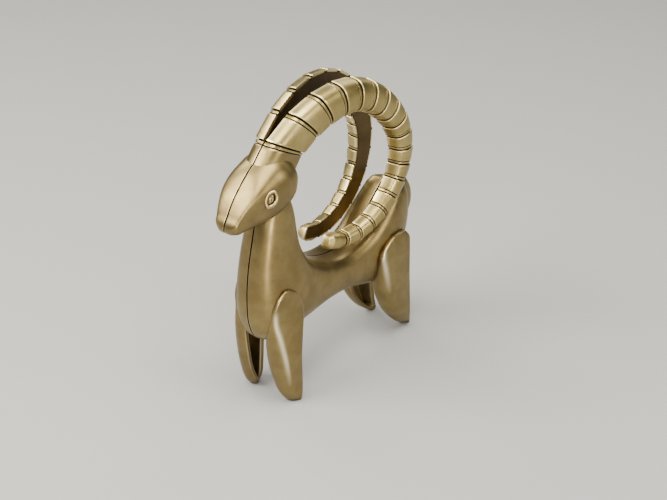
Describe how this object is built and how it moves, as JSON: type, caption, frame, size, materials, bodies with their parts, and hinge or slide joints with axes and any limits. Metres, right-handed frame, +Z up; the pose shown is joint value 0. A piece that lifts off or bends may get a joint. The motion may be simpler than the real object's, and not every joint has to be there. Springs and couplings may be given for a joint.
{
  "type": "ibex figurine",
  "caption": "Standing brass ibex figurine with long ringed horns curving back over its saddle, cast as mirrored left and right halves with hollow legs.",
  "frame": {"origin": "centre of the bounding box at the floor, under the four soles", "axes": "+Z up, -Y the way the ibex looks, +X its left side"},
  "size_m": [0.0508, 0.1934, 0.2083],
  "materials": {
    "body_brass": "satin",
    "horn_ring_brass": "satin",
    "horn_core_brass": "satin, darkened",
    "eye_brass": "satin"
  },
  "bodies": {
    "root": {"body_left": "body_brass", "body_right": "body_brass", "eye_rim_left": "eye_brass", "eye_rim_right": "eye_brass", "eyeball_left": "eye_brass", "eyeball_right": "eye_brass", "front_leg_left": "body_brass", "front_leg_right": "body_brass", "head_left": "body_brass", "head_right": "body_brass", "horn_collar_left": "body_brass", "horn_collar_right": "body_brass", "horn_core_left": "horn_core_brass", "horn_core_right": "horn_core_brass", "horn_ring_01_left": "horn_ring_brass", "horn_ring_01_right": "horn_ring_brass", "horn_ring_02_left": "horn_ring_brass", "horn_ring_02_right": "horn_ring_brass", "horn_ring_03_left": "horn_ring_brass", "horn_ring_03_right": "horn_ring_brass", "horn_ring_04_left": "horn_ring_brass", "horn_ring_04_right": "horn_ring_brass", "horn_ring_05_left": "horn_ring_brass", "horn_ring_05_right": "horn_ring_brass", "horn_ring_06_left": "horn_ring_brass", "horn_ring_06_right": "horn_ring_brass", "horn_ring_07_left": "horn_ring_brass", "horn_ring_07_right": "horn_ring_brass", "horn_ring_08_left": "horn_ring_brass", "horn_ring_08_right": "horn_ring_brass", "horn_ring_09_left": "horn_ring_brass", "horn_ring_09_right": "horn_ring_brass", "horn_ring_10_left": "horn_ring_brass", "horn_ring_10_right": "horn_ring_brass", "horn_ring_11_left": "horn_ring_brass", "horn_ring_11_right": "horn_ring_brass", "horn_ring_12_left": "horn_ring_brass", "horn_ring_12_right": "horn_ring_brass", "horn_ring_13_left": "horn_ring_brass", "horn_ring_13_right": "horn_ring_brass", "horn_ring_14_left": "horn_ring_brass", "horn_ring_14_right": "horn_ring_brass", "horn_ring_15_left": "horn_ring_brass", "horn_ring_15_right": "horn_ring_brass", "horn_ring_16_left": "horn_ring_brass", "horn_ring_16_right": "horn_ring_brass", "horn_ring_17_left": "horn_ring_brass", "horn_ring_17_right": "horn_ring_brass", "horn_ring_18_left": "horn_ring_brass", "horn_ring_18_right": "horn_ring_brass", "rear_leg_left": "body_brass", "rear_leg_right": "body_brass", "tail_left": "body_brass", "tail_right": "body_brass"}
  },
  "joints": []
}
